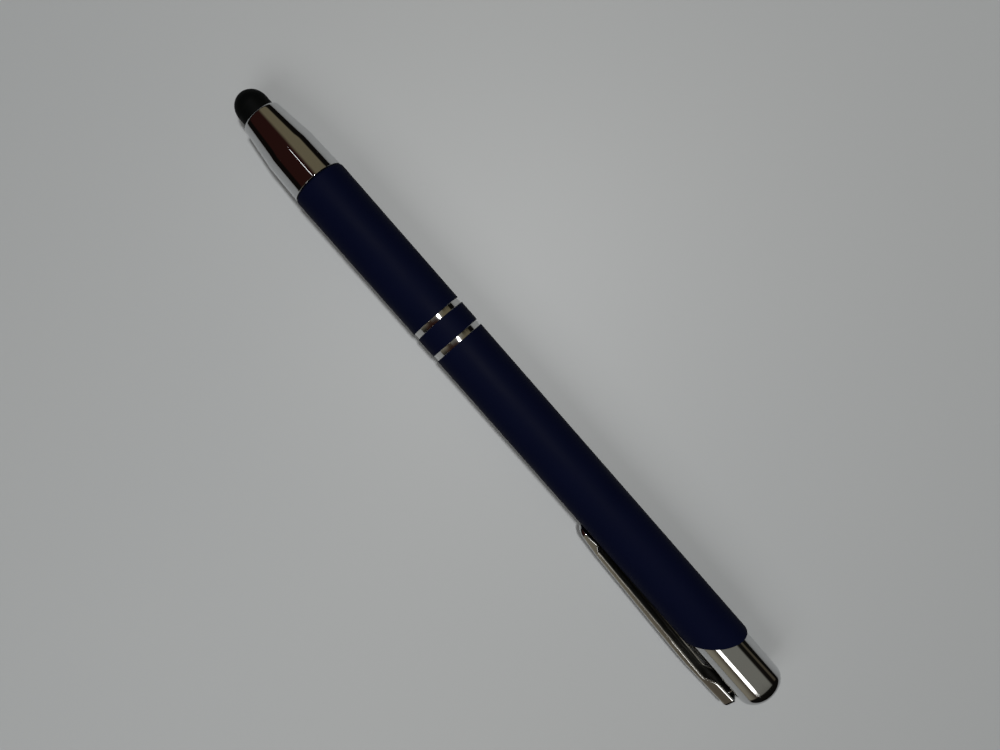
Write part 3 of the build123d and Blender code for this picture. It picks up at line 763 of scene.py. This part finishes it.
def ink_paste():
    """Ink between the point's shank and the air at the tail: a rod with a rounder end towards the tail."""
    front_round, tail_round, longest = 0.2, 0.5, 2.0
    front = point_rear - shank_length - slide_gap
    corners = [(front, 0, 0), (front, pressed_r, front_round), (ink_end, pressed_r, tail_round),
               (ink_end, 0, 0)]
    outline = fine(rounded(corners), longest, closed=False)
    return solid_piece("ink_paste", "refill", outline, paste_ink, "ink_column")


for make in (lacquered_barrel, plated_nose, rubber_dome, plated_plunger, folded_clip, threaded_bush,
             turned_point, rolling_ball, guide_bush, ink_tube, vent_plug, stop_ring, ink_paste):
    make()
spring = coil_spring()
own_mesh(spring)

# Pieces of the click mechanism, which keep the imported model's shapes and get a finish
for node, finish in (("cam_sleeve", white_acetal), ("rotating_cam", blue_acetal),
                     ("toothed_pusher", grey_acetal), ("plunger_core", black_acetal)):
    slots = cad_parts[node].data.materials
    slots.clear()
    slots.append(finish)

backdrop = "#9FA2A1"
soft_edge = {"interpolation_type": "SMOOTHSTEP"}


def pale_floor(lines=21):
    """Plain pale floor under the pen: a flat sheet whose rows and columns spread out from the middle by the
    square of their number. Far from the pen the camera sees it in the backdrop's colour, so that it runs into
    the backdrop without a horizon."""
    reach, cloud_size, pen_middle = 3000, 125 * mm, (-50 * mm, 0, 0)
    fade_start, fade_end = 80 * mm, 240 * mm
    material, tree, place = blank("pale_laminate")
    clouds = add(tree, "TexNoise", {"Scale": 1 / cloud_size, "Detail": 2.0}, {"Vector": place})
    colour = add(tree, "Mix",
                 {**colour_mix, mix_under: hex_colour("#9EA1A3"), mix_over: hex_colour("#A3A5A5")},
                 {mix_share: clouds.outputs["Fac"]})
    shader = add(tree, "BsdfPrincipled", {"Roughness": 0.5, "Specular IOR Level": 0.3},
                 {"Base Color": colour.outputs[mix_colour]})
    away = add(tree, "VectorMath", {"operation": "DISTANCE", 1: pen_middle}, {0: place})
    far = add(tree, "MapRange", {"From Min": fade_start, "From Max": fade_end, **soft_edge},
              {"Value": away.outputs["Value"]})
    seen = add(tree, "Math", {"operation": "MULTIPLY"},
               {0: far.outputs[0], 1: add(tree, "LightPath", {}).outputs["Is Camera Ray"]})
    glow = add(tree, "Emission", {"Color": hex_colour(backdrop)})
    surface = add(tree, "MixShader", {}, {0: seen.outputs[0], 1: shader.outputs[0], 2: glow.outputs[0]})
    add(tree, "OutputMaterial", {}, {"Surface": surface.outputs[0]})
    spread = np.linspace(-1, 1, lines)
    spread = np.sign(spread) * spread ** 2 * reach
    level = np.full((lines, lines), -barrel_r)
    grid = np.stack([*np.meshgrid(spread, spread, indexing="ij"), level], axis=-1)
    mesh = bpy.data.meshes.new("pale_floor")
    mesh.from_pydata((grid.reshape(-1, 3) * mm).tolist(), [], skin(lines, lines).tolist())
    mesh.materials.append(material)
    made = bpy.data.objects.new("pale_floor", mesh)
    bpy.context.scene.collection.objects.link(made)


def soft_lamp(name, place, aim, length, breadth, power, tint, mirrored=True):
    """Soft box at a place in mm, turned to an aim with its length along the pen. The camera doesn't see it,
    and bright metal mirrors it or not."""
    data = bpy.data.lights.new(name, "AREA")
    data.shape, data.size, data.size_y = "RECTANGLE", length * mm, breadth * mm
    data.energy, data.color = power, hex_colour(tint)[:3]
    made = bpy.data.objects.new(name, data)
    back = (Vector(place) - Vector(aim)).normalized()
    over = back.cross(Vector((1, 0, 0))).normalized()
    turn = Matrix((over.cross(back), over, back)).transposed()
    made.matrix_world = Matrix.Translation(Vector(place) * mm) @ turn.to_4x4()
    made.visible_camera, made.visible_glossy = False, mirrored
    bpy.context.scene.collection.objects.link(made)


def studio_world():
    """Dim surround by the direction looked in, as bands laid over each other: a brown-black front with khaki
    to the -Y side and a dark horizon, and over it a grey rear that turns brown and then khaki to the +Y side,
    is dark with a khaki streak to the -Y side, and is dark far back. The camera itself sees the plain
    backdrop."""
    along, across, up = 0, 1, 2
    rear_start, rear_end = 0.1, -0.15
    # each half has a colour, and bands over it: axis, where the band starts and is full, its colour
    front = ("#2A1512", [(across, -0.1, -0.35, "#6E6651"), (up, 0.44, 0.34, "#0E0C0A")])
    rear = ("#7B7A72", [(across, 0.42, 0.52, "#4E463B"), (across, 0.63, 0.87, "#8A8474"),
                        (across, -0.5, -0.62, "#14120F"), (across, -0.74, -0.78, "#4A4438"),
                        (across, -0.81, -0.83, "#100F0D"), (along, -0.538, -0.55, "#100F0D")])
    world = bpy.data.worlds.new("studio")
    world.use_nodes = True
    tree = world.node_tree
    tree.nodes.clear()
    way = add(tree, "SeparateXYZ", {}, {0: add(tree, "TexCoord", {}).outputs["Generated"]}).outputs
    halves = []
    for base, bands in (front, rear):
        under, link = {mix_under: hex_colour(base)}, {}
        for axis, start, full, over in bands:
            share = add(tree, "MapRange", {"From Min": start, "From Max": full, **soft_edge},
                        {"Value": way[axis]})
            shade = add(tree, "Mix", {**colour_mix, **under, mix_over: hex_colour(over)},
                        {mix_share: share.outputs[0], **link})
            under, link = {}, {mix_under: shade.outputs[mix_colour]}
        halves.append(shade.outputs[mix_colour])
    share = add(tree, "MapRange", {"From Min": rear_start, "From Max": rear_end, **soft_edge},
                {"Value": way[along]})
    shade = add(tree, "Mix", colour_mix,
                {mix_share: share.outputs[0], mix_under: halves[0], mix_over: halves[1]})
    seen = add(tree, "Mix", {**colour_mix, mix_over: hex_colour(backdrop)},
               {mix_share: add(tree, "LightPath", {}).outputs["Is Camera Ray"],
                mix_under: shade.outputs[mix_colour]})
    light = add(tree, "Background", {"Strength": 1.0}, {"Color": seen.outputs[mix_colour]})
    add(tree, "OutputWorld", {}, {"Surface": light.outputs[0]})
    bpy.context.scene.world = world


pale_floor()
studio_world()

# Stripe on plunger and clip, main light, soft light from the clip's side, glints on the clip's tip and nose
soft_lamp("side_box", place=(-343, 261, 322), aim=(-110, 0, 0), length=58, breadth=105, power=0.07,
          tint="#FFFDF8")
soft_lamp("top_box", place=(-24, -56, 420), aim=(-40, 0, 0), length=40, breadth=40, power=1.25,
          tint="#FFFFFF")
soft_lamp("fill_box", place=(-110, 290, 320), aim=(-80, 0, 0), length=260, breadth=260, power=0.6,
          tint="#FFFFFF", mirrored=False)
soft_lamp("tip_box", place=(-212, 261, 322), aim=(-77, 0, 0), length=26, breadth=60, power=0.018,
          tint="#FFFDF8")
soft_lamp("nose_box", place=(107, 5, 299), aim=(4, 0, 0), length=40, breadth=5, power=0.002,
          tint="#FFFFFF")

# Camera as the pen was seen: from above its middle, the pen's front towards the upper left
camera_place, camera_aim = Vector((-35.42, 0.05, 130.9)), Vector((-44.58, -1.605, 0.0))
camera_up = np.radians(-41.19)  # direction in plan that is up in the picture
lens = bpy.data.cameras.new("camera")
lens.lens, lens.sensor_width, lens.clip_start, lens.clip_end = 27.04, 36.0, 1 * mm, 20.0
camera = bpy.data.objects.new("camera", lens)
forward = (camera_aim - camera_place).normalized()
right = forward.cross(Vector((np.cos(camera_up), np.sin(camera_up), 0))).normalized()
turn = Matrix((right, right.cross(forward), -forward)).transposed()
camera.matrix_world = Matrix.Translation(camera_place * mm) @ turn.to_4x4()
bpy.context.scene.collection.objects.link(camera)
bpy.context.scene.camera = camera
bpy.context.scene.view_settings.view_transform = "Standard"
